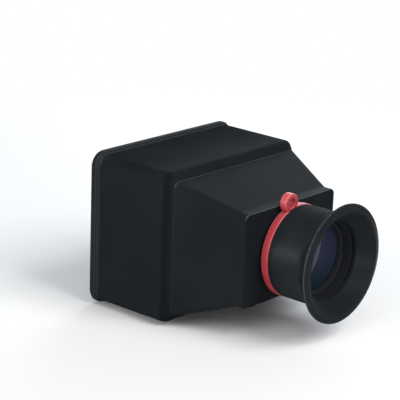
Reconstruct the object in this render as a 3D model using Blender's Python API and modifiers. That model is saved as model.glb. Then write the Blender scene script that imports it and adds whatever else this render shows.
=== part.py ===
"""LCD viewfinder loupe with its magnetic screen frame.

Lengths are metres. Every piece is drawn along the optical axis, in the frame of the empty
optical_axis: X is right and Y is up as the eye sees it, and Z runs from the camera's screen,
where it is zero, towards the eye. The empty turns that frame so that the eye looks along
world +Y with +Z up. Names ending in _at are places on that Z axis.
"""
import math
from collections import namedtuple

import bmesh
import bpy

# Fits
CLEARANCE = 0.0003
OVERRUN = 0.0010
MERGE_DISTANCE = 0.00002
SMALLEST_CORNER = 0.0003

# Facet counts and shading
CORNER_STEPS = 6
FILLET_STEPS = 3
FLARE_STEPS = 6
CROWN_STEPS = 4
LENS_STEPS = 4
BARREL_STEPS = 64
INNER_STEPS = 48
SCREW_STEPS = 14
SMOOTH_ANGLE = math.radians(32)

# Screen frame and the tape that holds it round the camera's screen
WINDOW_WIDTH = 0.0640
WINDOW_HEIGHT = 0.0436
WINDOW_CORNER = 0.0012
TAPE_THICKNESS = 0.0006
TAPE_MARGIN = 0.0005
FRAME_THICKNESS = 0.0019
FRAME_MARGIN = 0.0011
FRAME_CORNER = 0.0055
FRAME_CHAMFER = 0.0004
FRAME_LAND = 0.0006
FRAME_LAND_INSET = 0.0005
LIP_WALL = 0.0010
LIP_HEIGHT = 0.0025
LIP_CHAMFER = 0.0004
LIP_CLEARANCE = 0.0004

# Light seal, magnet carrier and magnets in the loupe's mouth
SEAL_THICKNESS = 0.0010
RAIL_SIDE = 0.0023
RAIL_TOP = 0.00405
CARRIER_DEPTH = 0.0040
MAGNETS_PER_RAIL = 4
MAGNET_SPACING = 0.0035
MAGNET_DEPTH = 0.0025
MAGNET_BEVEL = 0.0002
POCKET_WALL = 0.0005

# Screws that hold the magnet carrier
CARRIER_SCREW_INSET = 0.0045
CARRIER_SCREW_HEAD_RADIUS = 0.0012
CARRIER_SCREW_HEAD = 0.0008
CARRIER_SCREW_RADIUS = 0.0007
CARRIER_SCREW_LENGTH = 0.0075

# Front housing, the straight first stage
FRONT_WALL = 0.0020
FRONT_CORNER = 0.0040
FRONT_LENGTH = 0.0331
FRONT_DRAFT = 0.00025
RIM_GAP = 0.0003
RIM_ROUND = 0.0008
STOP_HEIGHT = 0.0009
STOP_LENGTH = 0.0015
SHOULDER_INSET_SIDE = 0.00295
SHOULDER_INSET_TOP = 0.0035
SHOULDER_LENGTH = 0.0024
SHOULDER_LEAD = 0.0014
SHOULDER_ROUND = 0.0005
SHOULDER_LAND = 0.0005
REBATE_DEPTH = 0.0016
LEDGE_THICKNESS = 0.0020
GATE_MARGIN = 0.0007
GATE_CORNER = 0.0020

# Rear housing, the pyramid that ends in the eye plate
REAR_WALL = 0.0020
REAR_CORNER = 0.0021
REAR_LENGTH = 0.0281
REAR_FOOT = 0.0006
REAR_FOOT_ROUND = 0.0003
EYE_PLATE_CORNER = 0.0024
EYE_PLATE_MARGIN_SIDE = 0.0085
EYE_PLATE_MARGIN_TOP = 0.0003
EYE_PLATE_THICKNESS = 0.0020
EYE_LIP = 0.0041
EYE_LIP_BLEND = 0.0010
EYE_EDGE_ROUND = 0.0012

# Screws that join the two housings, and their bosses
HOUSING_SCREW_HEAD_RADIUS = 0.0019
HOUSING_SCREW_HEAD = 0.0013
HOUSING_SCREW_RADIUS = 0.0010
HOUSING_SCREW_LENGTH = 0.0080
BOSS_WALL = 0.0011
BOSS_CAP = 0.0010
BOSS_BITE = 0.0004
BOSS_COVER = 0.0007

# Lenses and the rings between them
LENS_RADIUS = 0.0143
LENS_SEAT = 0.0017
LENS_CURVE = 0.0830
EYE_LENS_OUTER_CURVE = 0.1700
FIELD_LENS_EDGE = 0.0020
EYE_LENS_EDGE = 0.0025
LENS_GAP = 0.0022
SPACER_WALL = 0.0011
RETAINER_WALL = 0.0011
RETAINER_DEPTH = 0.0018
RETAINER_SLOT_WIDTH = 0.0016
RETAINER_SLOT_DEPTH = 0.0007

# Eyepiece tube and the lock ring behind the eye plate
TUBE_WALL = 0.0014
TUBE_MOUTH = 0.0033
NECK_WALL = 0.0014
NECK_TAIL = 0.0004
COLLAR_HEIGHT = 0.0014
COLLAR_THICKNESS = 0.0005
SEAT_THICKNESS = 0.0021
LOCK_RING_WALL = 0.0015
LOCK_RING_LENGTH = 0.0025
LOCK_NOTCH_WIDTH = 0.0020
LOCK_NOTCH_DEPTH = 0.0008

# Lanyard ring and its eyelet
RING_WALL = 0.00174
RING_WIDTH = 0.0029
RING_CHAMFER = 0.0002
LUG_RADIUS = 0.0037
LUG_HOLE_RADIUS = 0.0019
LUG_REACH = 0.0021
LUG_BASE = 0.0050
LUG_LEAN = math.radians(14.0)

# Rubber eyecup
SLEEVE_WALL = 0.0017
SLEEVE_EDGE = 0.0004
FLARE_LEAD = 0.0007
FLARE_HEIGHT = 0.00485
FLARE_LENGTH = 0.0071
CUP_RIM_THICKNESS = 0.0006
CUP_RIM_FACE = 0.0029
CUP_RIM_CROWN = 0.0009
CUP_RIM_EDGE = 0.0003
THROAT_LIP = 0.0015
THROAT_MARGIN = 0.0007

Section = namedtuple("Section", "width height corner depth")

# Stations from the screen to the eye
frame_back_at = TAPE_THICKNESS + CLEARANCE
frame_front_at = frame_back_at + FRAME_THICKNESS
frame_land_at = frame_front_at + FRAME_LAND
lip_top_at = frame_land_at + LIP_HEIGHT
seal_back_at = frame_land_at + CLEARANCE
carrier_back_at = seal_back_at + SEAL_THICKNESS + CLEARANCE
carrier_front_at = carrier_back_at + CARRIER_DEPTH
stop_at = carrier_front_at + CLEARANCE
rim_at = frame_land_at + RIM_GAP
shoulder_at = rim_at + FRONT_LENGTH
land_at = shoulder_at + SHOULDER_LENGTH
rebate_floor_at = land_at - REBATE_DEPTH
ledge_back_at = rebate_floor_at - LEDGE_THICKNESS
rear_back_at = rebate_floor_at + CLEARANCE
eye_plate_at = land_at + REAR_LENGTH
eye_lip_at = eye_plate_at - EYE_LIP
eye_plate_back_at = eye_plate_at - EYE_PLATE_THICKNESS
lock_front_at = eye_plate_back_at - CLEARANCE
lock_back_at = lock_front_at - LOCK_RING_LENGTH
neck_end_at = lock_back_at - NECK_TAIL
collar_back_at = eye_plate_at + CLEARANCE
collar_front_at = collar_back_at + COLLAR_THICKNESS
ring_back_at = collar_front_at + CLEARANCE
ring_front_at = ring_back_at + RING_WIDTH
sleeve_back_at = ring_front_at + CLEARANCE

# Radii from the lenses outwards
neck_bore = LENS_RADIUS - LENS_SEAT
neck_outer = neck_bore + NECK_WALL
tube_bore = LENS_RADIUS + CLEARANCE
tube_outer = tube_bore + TUBE_WALL
ring_inner = tube_outer + CLEARANCE
ring_outer = ring_inner + RING_WALL
sleeve_inner = tube_outer + CLEARANCE
sleeve_outer = sleeve_inner + SLEEVE_WALL
eye_plate_hole = neck_outer + CLEARANCE

# Lens stack, from the seat in the tube to the retaining ring
inner_sag = LENS_CURVE - math.sqrt(LENS_CURVE ** 2 - LENS_RADIUS ** 2)
outer_sag = EYE_LENS_OUTER_CURVE - math.sqrt(EYE_LENS_OUTER_CURVE ** 2 - LENS_RADIUS ** 2)
lens_seat_at = collar_back_at + SEAT_THICKNESS
field_lens_at = lens_seat_at + CLEARANCE
spacer_at = field_lens_at + FIELD_LENS_EDGE + CLEARANCE
spacer_length = 2 * inner_sag + LENS_GAP
eye_lens_at = spacer_at + spacer_length + CLEARANCE
retainer_at = eye_lens_at + EYE_LENS_EDGE + CLEARANCE
tube_end_at = retainer_at + RETAINER_DEPTH + TUBE_MOUTH

# Outlines across the axis
window = Section(WINDOW_WIDTH, WINDOW_HEIGHT, WINDOW_CORNER, 0)
rail_side = LIP_WALL + LIP_CLEARANCE + RAIL_SIDE + CLEARANCE + FRONT_WALL
rail_top = LIP_WALL + LIP_CLEARANCE + RAIL_TOP + CLEARANCE + FRONT_WALL
front_rim = Section(WINDOW_WIDTH + 2 * rail_side, WINDOW_HEIGHT + 2 * rail_top, FRONT_CORNER, rim_at)
front_shoulder = Section(front_rim.width - 2 * FRONT_DRAFT, front_rim.height, FRONT_CORNER, shoulder_at)
rear_base = Section(
    front_shoulder.width - 2 * SHOULDER_INSET_SIDE,
    front_shoulder.height - 2 * SHOULDER_INSET_TOP,
    REAR_CORNER,
    land_at,
)
eye_plate = Section(
    2 * (ring_outer + EYE_PLATE_MARGIN_SIDE),
    2 * (ring_outer + EYE_PLATE_MARGIN_TOP),
    EYE_PLATE_CORNER,
    eye_lip_at,
)


def inset(section, amount, depth):
    """The same outline drawn in by an amount on every side, or let out by a negative one."""
    corner = max(section.corner - amount, SMALLEST_CORNER)
    return Section(section.width - 2 * amount, section.height - 2 * amount, corner, depth)


def between(first, second, depth):
    """The outline that a straight wall from first to second has at a depth."""
    share = (depth - first.depth) / (second.depth - first.depth)
    sizes = [a + (b - a) * share for a, b in zip(first[:3], second[:3])]
    return Section(*sizes, depth)


def eased(sections, cuts):
    """A wall over sections, where each turn is a curve that leaves and meets it a cut away."""
    wall = [sections[0]]
    for before, turn, after, cut in zip(sections, sections[1:], sections[2:], cuts):
        ends = []
        for neighbour in (before, after):
            run = math.hypot(neighbour.depth - turn.depth, (neighbour.height - turn.height) / 2)
            ends.append([a + (b - a) * cut / run for a, b in zip(turn, neighbour)])
        for step in range(FILLET_STEPS + 1):
            share = step / FILLET_STEPS
            curve = [
                (1 - share) ** 2 * start + 2 * share * (1 - share) * middle + share ** 2 * end
                for start, middle, end in zip(ends[0], turn, ends[1])
            ]
            wall.append(Section(*curve))
    wall.append(sections[-1])
    return wall


def outline_points(section):
    """Corner arcs of a rounded rectangle, anticlockwise as the eye sees them."""
    points = []
    for quarter in range(4):
        side_x = 1 if quarter in (0, 3) else -1
        side_y = 1 if quarter < 2 else -1
        middle_x = side_x * (section.width / 2 - section.corner)
        middle_y = side_y * (section.height / 2 - section.corner)
        for step in range(CORNER_STEPS + 1):
            angle = (quarter + step / CORNER_STEPS) * math.pi / 2
            x = middle_x + section.corner * math.cos(angle)
            y = middle_y + section.corner * math.sin(angle)
            points.append((x, y, section.depth))
    return points


def make_material(name, color, roughness, metallic=0.0, transmission=0.0):
    material = bpy.data.materials.new(name)
    material.use_nodes = True
    shader = material.node_tree.nodes["Principled BSDF"]
    shader.inputs["Base Color"].default_value = (*color, 1.0)
    shader.inputs["Roughness"].default_value = roughness
    shader.inputs["Metallic"].default_value = metallic
    shader.inputs["Transmission Weight"].default_value = transmission
    return material


def add_object(name, data, material=None, location=(0, 0, 0)):
    """Hang a piece, or a cutter when it has no material, on the optical axis."""
    item = bpy.data.objects.new(name, data)
    item.parent = bpy.data.objects["optical_axis"]
    item.location = location
    if material:
        data.materials.append(material)
        bpy.data.collections["lcd_viewfinder_loupe"].objects.link(item)
    else:
        item.hide_render = True
        item.display_type = "WIRE"
        bpy.data.collections["cutters"].objects.link(item)
    return item


def mesh_from(name, form):
    """Turn a bmesh into a mesh whose faces point outwards."""
    bmesh.ops.recalc_face_normals(form, faces=form.faces)
    mesh = bpy.data.meshes.new(name)
    form.to_mesh(mesh)
    form.free()
    return mesh


def loft(name, sections, material=None, open_through=True):
    """A solid over rounded rectangles: a frame open right through, or a cup with end caps."""
    form = bmesh.new()
    rings = [[form.verts.new(point) for point in outline_points(section)] for section in sections]
    pairs = list(zip(rings, rings[1:]))
    if open_through:
        pairs.append((rings[-1], rings[0]))
    else:
        form.faces.new(rings[0])
        form.faces.new(rings[-1])
    for ring, following in pairs:
        count = len(ring)
        for i in range(count):
            form.faces.new((ring[i], ring[(i + 1) % count], following[(i + 1) % count], following[i]))
    return add_object(name, mesh_from(name, form), material)


def turned(name, profile, material=None, steps=INNER_STEPS, location=(0, 0, 0), on_axis=False):
    """A profile of (radius, depth) points turned once round the optical axis."""
    following = profile[1:] + profile[:1]
    area = sum(a[0] * b[1] - b[0] * a[1] for a, b in zip(profile, following))
    if area > 0:
        profile = profile[::-1]
    count = len(profile)
    edges = [(i, i + 1) for i in range(count - 1)]
    if not on_axis:
        edges.append((count - 1, 0))
    mesh = bpy.data.meshes.new(name)
    mesh.from_pydata([(radius, 0, depth) for radius, depth in profile], edges, [])
    piece = add_object(name, mesh, material, location)
    screw = piece.modifiers.new("Turn", "SCREW")
    screw.axis = "Z"
    screw.steps = screw.render_steps = steps
    screw.use_merge_vertices = True
    screw.merge_threshold = MERGE_DISTANCE
    return piece


def cylinder(name, radius, start, end, x=0, y=0, steps=INNER_STEPS):
    """A guide cylinder from one depth to another, for a hole or a boss."""
    form = bmesh.new()
    bmesh.ops.create_cone(
        form, cap_ends=True, segments=steps, radius1=radius, radius2=radius, depth=end - start
    )
    return add_object(name, mesh_from(name, form), None, (x, y, (start + end) / 2))


def box(name, size, location, material=None, lean=0):
    form = bmesh.new()
    bmesh.ops.create_cube(form, size=1)
    bmesh.ops.scale(form, vec=size, verts=form.verts)
    block = add_object(name, mesh_from(name, form), material, location)
    block.rotation_euler.z = lean
    return block


def combine(piece, guides, operation):
    """Cut or join guide shapes, one Boolean each."""
    for guide in guides:
        boolean = piece.modifiers.new(guide.name, "BOOLEAN")
        boolean.operation = operation
        boolean.solver = "EXACT"
        boolean.object = guide


def four_corners(x, y):
    return [("top_right", x, y), ("top_left", -x, y), ("bottom_left", -x, -y), ("bottom_right", x, -y)]


def make_screw(name, x, y, seat, head_radius, head, radius, length, material):
    """A pan-head screw whose head faces the camera, a clearance behind its seat."""
    seat_at = seat - CLEARANCE
    head_round = head / 2
    profile = [
        (0, seat_at + length),
        (radius / 2, seat_at + length),
        (radius, seat_at + length - radius),
        (radius, seat_at),
        (head_radius, seat_at),
        (head_radius, seat_at - head + head_round),
        (head_radius - head_round, seat_at - head),
        (0, seat_at - head),
    ]
    return turned(name, profile, material, SCREW_STEPS, (x, y, 0), on_axis=True)


def make_tape(material):
    outer = inset(front_rim, TAPE_MARGIN - FRAME_MARGIN, 0)._replace(corner=FRAME_CORNER)
    inner = inset(window, -TAPE_MARGIN, 0)
    loft("adhesive_tape", [
        outer,
        outer._replace(depth=TAPE_THICKNESS),
        inner._replace(depth=TAPE_THICKNESS),
        inner,
    ], material)


def make_screen_frame(material):
    """Thin plate round the screen, with a land for the loupe's rim and a lip that centres it."""
    outer = inset(front_rim, -FRAME_MARGIN, frame_back_at)._replace(corner=FRAME_CORNER)
    land = inset(front_rim, FRAME_LAND_INSET, frame_front_at)
    lip = inset(window, -LIP_WALL, frame_land_at)
    loft("screen_frame", [
        outer,
        outer._replace(depth=frame_front_at - FRAME_CHAMFER),
        inset(outer, FRAME_CHAMFER, frame_front_at),
        land,
        land._replace(depth=frame_land_at),
        lip,
        lip._replace(depth=lip_top_at - LIP_CHAMFER),
        inset(lip, LIP_CHAMFER, lip_top_at),
        window._replace(depth=lip_top_at),
        window._replace(depth=frame_back_at),
    ], material)


def mouth_outline(depth):
    """What fits in the front housing's mouth, a clearance inside its wall."""
    return inset(front_rim, FRONT_WALL + CLEARANCE, depth)


def mouth_opening(depth):
    """Opening of the seal and the carrier, round the frame's lip."""
    return inset(window, -LIP_WALL - LIP_CLEARANCE, depth)


def make_light_seal(material):
    front = seal_back_at + SEAL_THICKNESS
    loft("light_seal", [
        mouth_outline(seal_back_at),
        mouth_outline(front),
        mouth_opening(front),
        mouth_opening(seal_back_at),
    ], material)


def carrier_screw_places():
    outline = mouth_outline(carrier_back_at)
    return four_corners(outline.width / 2 - CARRIER_SCREW_INSET, outline.height / 2 - RAIL_TOP / 2)


def make_magnet_carrier(material, magnet_material, screw_material):
    """Rectangular carrier with magnets in pockets in its top and bottom rails."""
    carrier = loft("magnet_carrier", [
        mouth_outline(carrier_back_at),
        mouth_outline(carrier_front_at),
        mouth_opening(carrier_front_at),
        mouth_opening(carrier_back_at),
    ], material)
    seat = carrier_back_at + CLEARANCE + CARRIER_SCREW_HEAD + CLEARANCE
    cuts = []
    for corner, x, y in carrier_screw_places():
        counterbore = CARRIER_SCREW_HEAD_RADIUS + CLEARANCE
        hole = CARRIER_SCREW_RADIUS + CLEARANCE
        start = carrier_back_at - OVERRUN
        cuts.append(cylinder("counterbore_" + corner, counterbore, start, seat, x, y, SCREW_STEPS))
        cuts.append(cylinder("carrier_hole_" + corner, hole, start, stop_at, x, y, SCREW_STEPS))
        make_screw(
            "carrier_screw_" + corner, x, y, seat, CARRIER_SCREW_HEAD_RADIUS, CARRIER_SCREW_HEAD,
            CARRIER_SCREW_RADIUS, CARRIER_SCREW_LENGTH, screw_material,
        )
    screw_x, rail_y = carrier_screw_places()[0][1:]
    pitch = 2 * (screw_x - CARRIER_SCREW_HEAD_RADIUS) / MAGNETS_PER_RAIL
    size = (pitch - MAGNET_SPACING, RAIL_TOP - 2 * POCKET_WALL - 2 * CLEARANCE, MAGNET_DEPTH)
    room = [length + 2 * CLEARANCE for length in size]
    for rail, y in (("top", rail_y), ("bottom", -rail_y)):
        for number in range(MAGNETS_PER_RAIL):
            x = (number - (MAGNETS_PER_RAIL - 1) / 2) * pitch
            label = f"{rail}_{number + 1}"
            middle = carrier_back_at + MAGNET_DEPTH / 2
            magnet = box("magnet_" + label, size, (x, y, middle), magnet_material)
            bevel = magnet.modifiers.new("Edge", "BEVEL")
            bevel.width = MAGNET_BEVEL
            bevel.segments = 1
            cuts.append(box("pocket_" + label, room, (x, y, middle)))
    combine(carrier, cuts, "DIFFERENCE")


def housing_boss_radius():
    return HOUSING_SCREW_RADIUS + CLEARANCE + BOSS_WALL


def housing_boss_end():
    return ledge_back_at - CLEARANCE + HOUSING_SCREW_LENGTH + CLEARANCE + BOSS_CAP


def housing_screw_places():
    """Corners just inside the pyramid's walls, where the bosses end."""
    outer = between(rear_base, eye_plate, housing_boss_end())
    reach = housing_boss_radius() + BOSS_COVER
    return four_corners(outer.width / 2 - reach, outer.height / 2 - reach)


def gate_opening(depth):
    """The light gate, which leaves room for the screws round it."""
    x, y = housing_screw_places()[0][1:]
    reach = housing_boss_radius() + GATE_MARGIN
    return Section(2 * (x - reach), 2 * (y - reach), GATE_CORNER, depth)


def front_inner(depth):
    return inset(between(front_rim, front_shoulder, depth), FRONT_WALL, depth)


def make_front_housing(material):
    """Straight hood: rounded rim, stop rib for the carrier, shoulder, rebate and light gate."""
    rebate = inset(rear_base, -CLEARANCE, land_at)
    land = inset(rebate, -SHOULDER_LAND, land_at)
    wall_end = between(front_rim, front_shoulder, shoulder_at - SHOULDER_LEAD)
    brow = between(wall_end, land, shoulder_at)._replace(height=front_shoulder.height)
    mouth = inset(front_rim, FRONT_WALL, rim_at)
    rib_top = stop_at + STOP_LENGTH
    outside = [mouth, front_rim, wall_end, brow, land]
    housing = loft("front_housing", [
        *eased(outside, [RIM_ROUND, SHOULDER_ROUND, SHOULDER_ROUND]),
        rebate,
        rebate._replace(depth=rebate_floor_at),
        gate_opening(rebate_floor_at),
        gate_opening(ledge_back_at),
        front_inner(ledge_back_at),
        front_inner(rib_top + STOP_HEIGHT),
        inset(front_inner(rib_top), STOP_HEIGHT, rib_top),
        inset(front_inner(stop_at), STOP_HEIGHT, stop_at),
        mouth._replace(depth=stop_at),
    ], material)
    bosses = []
    holes = []
    screw_tip = carrier_back_at + CARRIER_SCREW_HEAD + CLEARANCE + CARRIER_SCREW_LENGTH
    for corner, x, y in carrier_screw_places():
        radius = front_inner(stop_at).height / 2 - abs(y) + BOSS_BITE
        hole = CARRIER_SCREW_RADIUS + CLEARANCE
        end = screw_tip + CLEARANCE
        bosses.append(cylinder("carrier_boss_" + corner, radius, stop_at, end + BOSS_CAP, x, y, SCREW_STEPS))
        holes.append(cylinder("pilot_" + corner, hole, stop_at - OVERRUN, end, x, y, SCREW_STEPS))
    for corner, x, y in housing_screw_places():
        hole = HOUSING_SCREW_RADIUS + CLEARANCE
        start = ledge_back_at - OVERRUN
        holes.append(cylinder("ledge_hole_" + corner, hole, start, land_at, x, y, SCREW_STEPS))
    combine(housing, bosses, "UNION")
    combine(housing, holes, "DIFFERENCE")


def make_rear_housing(material, screw_material):
    """Pyramid with soft ridges, a straight lip round the eye plate and four screw bosses."""
    lip_top = eye_plate._replace(depth=eye_plate_at)
    outside = [
        inset(lip_top, 2 * EYE_EDGE_ROUND, eye_plate_at),
        lip_top,
        eye_plate,
        rear_base._replace(depth=land_at + REAR_FOOT),
        rear_base._replace(depth=rear_back_at),
    ]
    housing = loft("rear_housing", [
        *eased(outside, [EYE_EDGE_ROUND, EYE_LIP_BLEND, REAR_FOOT_ROUND])[1:],
        inset(rear_base, REAR_WALL, rear_back_at),
        inset(rear_base, REAR_WALL, land_at),
        inset(eye_plate, REAR_WALL, eye_lip_at),
        inset(eye_plate, REAR_WALL, eye_plate_back_at),
    ], material, open_through=False)
    bosses = []
    holes = [cylinder("eye_plate_hole", eye_plate_hole, lock_back_at, collar_front_at, steps=BARREL_STEPS)]
    for corner, x, y in housing_screw_places():
        end = housing_boss_end()
        radius = housing_boss_radius()
        hole = HOUSING_SCREW_RADIUS + CLEARANCE
        bosses.append(cylinder("housing_boss_" + corner, radius, rear_back_at, end, x, y, SCREW_STEPS))
        start = rear_back_at - OVERRUN
        holes.append(cylinder("housing_pilot_" + corner, hole, start, end - BOSS_CAP, x, y, SCREW_STEPS))
        make_screw(
            "housing_screw_" + corner, x, y, ledge_back_at, HOUSING_SCREW_HEAD_RADIUS,
            HOUSING_SCREW_HEAD, HOUSING_SCREW_RADIUS, HOUSING_SCREW_LENGTH, screw_material,
        )
    combine(housing, bosses, "UNION")
    combine(housing, holes, "DIFFERENCE")


def make_eyepiece_tube(material):
    """Lens tube: a neck through the eye plate, a collar on it and a barrel towards the eye."""
    turned("eyepiece_tube", [
        (neck_bore, neck_end_at),
        (neck_outer, neck_end_at),
        (neck_outer, collar_back_at),
        (tube_outer + COLLAR_HEIGHT, collar_back_at),
        (tube_outer + COLLAR_HEIGHT, collar_front_at),
        (tube_outer, collar_front_at),
        (tube_outer, tube_end_at),
        (tube_bore, tube_end_at),
        (tube_bore, lens_seat_at),
        (neck_bore, lens_seat_at),
    ], material, BARREL_STEPS)


def make_lock_ring(material):
    """Ring nut that clamps the tube to the eye plate from inside, with two spanner notches."""
    inner = neck_outer + CLEARANCE
    outer = inner + LOCK_RING_WALL
    nut = turned("lock_ring", [
        (inner, lock_back_at),
        (outer, lock_back_at),
        (outer, lock_front_at),
        (inner, lock_front_at),
    ], material)
    size = (2 * (outer + OVERRUN), LOCK_NOTCH_WIDTH, 2 * LOCK_NOTCH_DEPTH)
    combine(nut, [box("lock_notches", size, (0, 0, lock_back_at))], "DIFFERENCE")


def cap_points(radius, curve, edge_at, turn):
    """Points of a lens face from its edge to the axis, bulging by turn along the axis."""
    rise = math.sqrt(curve ** 2 - radius ** 2)
    points = []
    for step in range(1, LENS_STEPS + 1):
        distance = radius * (1 - step / LENS_STEPS)
        points.append((distance, edge_at + turn * (math.sqrt(curve ** 2 - distance ** 2) - rise)))
    return points


def make_lenses(material):
    """Two lenses whose steeper faces look at each other across the spacer."""
    front = field_lens_at + FIELD_LENS_EDGE
    turned("field_lens", [
        (0, field_lens_at),
        (LENS_RADIUS, field_lens_at),
        (LENS_RADIUS, front),
        *cap_points(LENS_RADIUS, LENS_CURVE, front, 1),
    ], material, on_axis=True)
    front = eye_lens_at + EYE_LENS_EDGE
    turned("eye_lens", [
        *reversed(cap_points(LENS_RADIUS, LENS_CURVE, eye_lens_at, -1)),
        (LENS_RADIUS, eye_lens_at),
        (LENS_RADIUS, front),
        *cap_points(LENS_RADIUS, EYE_LENS_OUTER_CURVE, front, 1),
    ], material, on_axis=True)


def make_lens_rings(material):
    """Spacer between the lenses and the slotted ring that keeps them in the tube."""
    inner = LENS_RADIUS - SPACER_WALL
    turned("lens_spacer", [
        (inner, spacer_at),
        (LENS_RADIUS, spacer_at),
        (LENS_RADIUS, spacer_at + spacer_length),
        (inner, spacer_at + spacer_length),
    ], material)
    inner = LENS_RADIUS - RETAINER_WALL
    front = retainer_at + RETAINER_DEPTH
    retainer = turned("lens_retaining_ring", [
        (inner, retainer_at),
        (LENS_RADIUS, retainer_at),
        (LENS_RADIUS, front),
        (inner, front),
    ], material)
    size = (2 * tube_bore, RETAINER_SLOT_WIDTH, 2 * RETAINER_SLOT_DEPTH)
    combine(retainer, [box("retainer_slots", size, (0, 0, front))], "DIFFERENCE")


def lug_outline():
    """Eyelet outline with flanks that run down into the ring, drawn upright from the axis."""
    middle = ring_outer + LUG_REACH
    foot = (ring_inner + ring_outer) / 2
    points = [(-LUG_BASE / 2, foot), (LUG_BASE / 2, foot)]
    for step in range(INNER_STEPS // 2 + 1):
        angle = step / (INNER_STEPS // 2) * math.pi
        points.append((LUG_RADIUS * math.cos(angle), middle + LUG_RADIUS * math.sin(angle)))
    return points


def make_lug():
    """Guide solid of the eyelet, from a filled outline as thick as the ring is wide."""
    curve = bpy.data.curves.new("lug", "CURVE")
    curve.dimensions = "2D"
    curve.fill_mode = "BOTH"
    curve.extrude = RING_WIDTH / 2
    points = lug_outline()
    spline = curve.splines.new("POLY")
    spline.points.add(len(points) - 1)
    for point, (x, y) in zip(spline.points, points):
        point.co = (x, y, 0, 1)
    spline.use_cyclic_u = True
    drawn = bpy.data.objects.new("lug_outline", curve)
    bpy.data.collections["cutters"].objects.link(drawn)
    bpy.context.view_layer.update()
    evaluated = drawn.evaluated_get(bpy.context.evaluated_depsgraph_get())
    form = bmesh.new()
    form.from_mesh(bpy.data.meshes.new_from_object(evaluated))
    bmesh.ops.remove_doubles(form, verts=form.verts, dist=MERGE_DISTANCE)
    bpy.data.objects.remove(drawn)
    lug = add_object("lug", mesh_from("lug", form), None, (0, 0, (ring_back_at + ring_front_at) / 2))
    lug.rotation_euler.z = LUG_LEAN
    return lug


def make_lanyard_ring(material):
    """Ring that turns on the tube between the collar and the eyecup, with its eyelet on top."""
    middle = (ring_back_at + ring_front_at) / 2
    half = RING_WIDTH / 2
    ring = turned("lanyard_ring", [
        (ring_inner, -half),
        (ring_outer - RING_CHAMFER, -half),
        (ring_outer, RING_CHAMFER - half),
        (ring_outer, half - RING_CHAMFER),
        (ring_outer - RING_CHAMFER, half),
        (ring_inner, half),
    ], material, BARREL_STEPS, (0, 0, middle))
    reach = ring_outer + LUG_REACH
    x = -reach * math.sin(LUG_LEAN)
    y = reach * math.cos(LUG_LEAN)
    start = ring_back_at - OVERRUN
    hole = cylinder("lug_hole", LUG_HOLE_RADIUS, start, ring_front_at + OVERRUN, x, y, SCREW_STEPS)
    combine(ring, [make_lug()], "UNION")
    combine(ring, [hole], "DIFFERENCE")


def make_eyecup(material):
    """Rubber cup: a sleeve over the tube, a concave flare and a crowned rim for the eye."""
    flare_at = tube_end_at - FLARE_LEAD
    rim_radius = sleeve_outer + FLARE_HEIGHT
    rim_back = flare_at + FLARE_LENGTH
    rim_front = rim_back + CUP_RIM_THICKNESS
    sweep = 2 * math.atan(FLARE_HEIGHT / FLARE_LENGTH)
    flare_radius = FLARE_LENGTH / math.sin(sweep)
    flare = []
    for step in range(FLARE_STEPS + 1):
        angle = sweep * step / FLARE_STEPS
        radius = sleeve_outer + flare_radius * (1 - math.cos(angle))
        flare.append((radius, flare_at + flare_radius * math.sin(angle)))
    crown = []
    for step in range(CROWN_STEPS + 1):
        angle = math.pi / 2 * step / CROWN_STEPS
        radius = rim_radius - CUP_RIM_FACE * (1 - math.cos(angle))
        crown.append((radius, rim_front + CUP_RIM_CROWN * math.sin(angle)))
    rim_inner = rim_radius - CUP_RIM_FACE - CUP_RIM_EDGE
    step_at = tube_end_at + CLEARANCE
    throat = tube_bore + THROAT_MARGIN
    turned("eyecup", [
        (sleeve_inner, sleeve_back_at),
        (sleeve_outer - SLEEVE_EDGE, sleeve_back_at),
        (sleeve_outer, sleeve_back_at + SLEEVE_EDGE),
        *flare,
        *crown,
        (rim_inner, rim_front + CUP_RIM_CROWN - CUP_RIM_EDGE),
        (throat, step_at + THROAT_LIP),
        (throat, step_at),
        (sleeve_inner, step_at),
    ], material, BARREL_STEPS)


def finish_pieces():
    """Keep each piece as its finished mesh, smooth on its round faces."""
    bpy.context.view_layer.update()
    graph = bpy.context.evaluated_depsgraph_get()
    pieces = list(bpy.data.collections["lcd_viewfinder_loupe"].objects)
    meshes = [bpy.data.meshes.new_from_object(piece.evaluated_get(graph)) for piece in pieces]
    for piece, mesh in zip(pieces, meshes):
        piece.modifiers.clear()
        piece.data = mesh
        mesh.shade_smooth()
        mesh.set_sharp_from_angle(angle=SMOOTH_ANGLE)


def main():
    for item in list(bpy.data.objects):
        bpy.data.objects.remove(item)
    for name in ("lcd_viewfinder_loupe", "cutters"):
        bpy.context.scene.collection.children.link(bpy.data.collections.new(name))
    axis = bpy.data.objects.new("optical_axis", None)
    axis.rotation_euler.x = math.pi / 2
    bpy.data.collections["cutters"].objects.link(axis)

    foam = make_material("foam tape", (0.04, 0.04, 0.04), 0.9)
    painted = make_material("black painted steel", (0.02, 0.02, 0.022), 0.45, 0.3)
    plastic = make_material("black moulded plastic", (0.022, 0.024, 0.026), 0.42)
    rubber = make_material("black rubber", (0.02, 0.021, 0.022), 0.6)
    nickel = make_material("nickel plate", (0.6, 0.58, 0.55), 0.25, 1.0)
    zinc = make_material("blackened steel", (0.05, 0.05, 0.055), 0.4, 1.0)
    red = make_material("coral red plastic", (0.6, 0.06, 0.07), 0.4)
    glass = make_material("coated glass", (0.75, 0.78, 0.95), 0.03, 0.0, 1.0)

    make_tape(foam)
    make_screen_frame(painted)
    make_light_seal(foam)
    make_magnet_carrier(plastic, nickel, zinc)
    make_front_housing(plastic)
    make_rear_housing(plastic, zinc)
    make_eyepiece_tube(plastic)
    make_lock_ring(plastic)
    make_lenses(glass)
    make_lens_rings(plastic)
    make_lanyard_ring(red)
    make_eyecup(rubber)
    finish_pieces()


main()
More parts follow.
